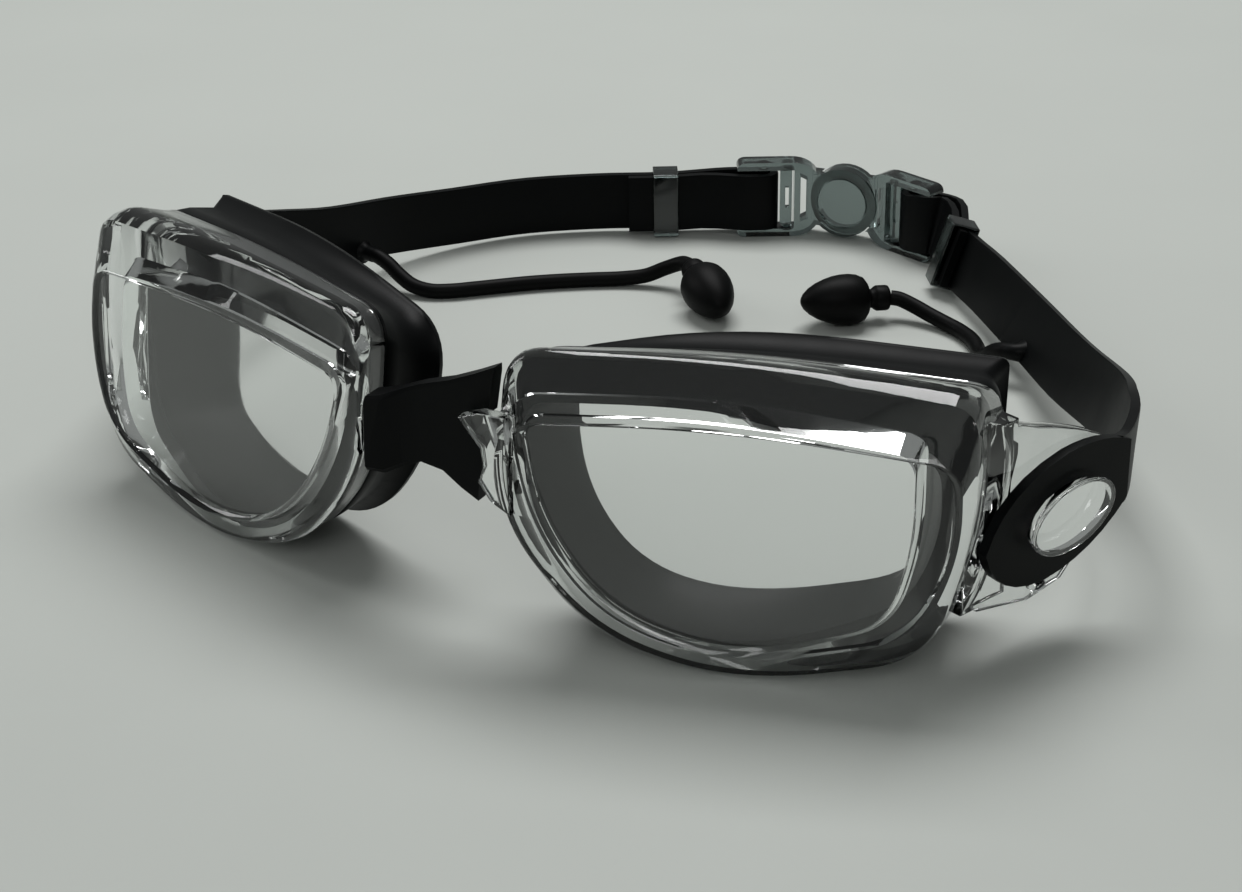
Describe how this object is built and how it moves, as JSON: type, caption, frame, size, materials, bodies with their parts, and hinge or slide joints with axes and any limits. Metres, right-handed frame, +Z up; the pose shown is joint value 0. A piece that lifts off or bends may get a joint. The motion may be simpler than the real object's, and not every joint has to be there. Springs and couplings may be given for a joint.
{
  "type": "swimming goggles with ear plugs",
  "caption": "Adult swimming goggles with clear curved-sided eyecups, black face gaskets, silicone nose bridge, split head strap with a turning hub clasp and corded ear plugs",
  "frame": {"origin": "on the table under the middle of the goggles' box, the cords and plugs left out", "axes": "lenses face -Y, the wearer's left is +X, +Z is up"},
  "size_m": [0.1842, 0.1799, 0.0484],
  "materials": {
    "clear_polycarbonate": "clear injection-moulded polycarbonate, polished",
    "black_silicone": "black moulded silicone, satin",
    "smoke_plastic": "smoke-tinted translucent polycarbonate, moulded",
    "plug_silicone": "black moulded silicone, satin"
  },
  "bodies": {
    "goggles": {"lens_shell_right": "clear_polycarbonate", "face_gasket_right": "black_silicone", "nose_bridge": "black_silicone", "head_strap_left": "black_silicone", "head_strap_right": "black_silicone", "clasp_ring_half": "smoke_plastic", "plug_cord_left": "plug_silicone", "plug_cord_right": "plug_silicone", "ear_plug_left": "plug_silicone", "ear_plug_right": "plug_silicone"},
    "left_eyecup": {"lens_shell_left": "clear_polycarbonate", "face_gasket_left": "black_silicone"},
    "clasp_stud": {"clasp_stud_half": "smoke_plastic"},
    "lock_left": {"strap_lock_left": "smoke_plastic"},
    "lock_right": {"strap_lock_right": "smoke_plastic"},
    "keeper_left": {"strap_keeper_left": "smoke_plastic"},
    "keeper_right": {"strap_keeper_right": "smoke_plastic"}
  },
  "joints": [
    {"name": "nose_flex", "type": "hinge", "parent": "goggles", "child": "left_eyecup", "pos_m": [0, -0.0855, 0.032], "axis": [0, 0, 1], "range_deg": [-8, 12], "stiffness_Nm_per_rad": 0.05, "deforming": ["nose_bridge", "head_strap_left"]},
    {"name": "clasp_turn", "type": "hinge", "parent": "goggles", "child": "clasp_stud", "pos_m": [-0.0129, 0.087, 0.0082], "axis": [-0.1149, 0.9934, 0], "range_deg": [-8, 8], "deforming": ["head_strap_left"]},
    {"name": "lock_left_rock", "type": "hinge", "parent": "clasp_stud", "child": "lock_left", "pos_m": [-0.0006, 0.08613, 0.0082], "axis": [0, 0, 1], "range_deg": [0, 35]},
    {"name": "lock_right_rock", "type": "hinge", "parent": "goggles", "child": "lock_right", "pos_m": [-0.02467, 0.08335, 0.0082], "axis": [0, 0, -1], "range_deg": [0, 35]},
    {"name": "keeper_left_slide", "type": "slide", "parent": "goggles", "child": "keeper_left", "axis": [-0.5801, 0.8146, 0], "range_m": [-0.004, 0.004], "deforming": ["head_strap_left"]},
    {"name": "keeper_right_slide", "type": "slide", "parent": "goggles", "child": "keeper_right", "axis": [0.8561, 0.5167, 0], "range_m": [-0.004, 0.004], "deforming": ["head_strap_right"]}
  ]
}
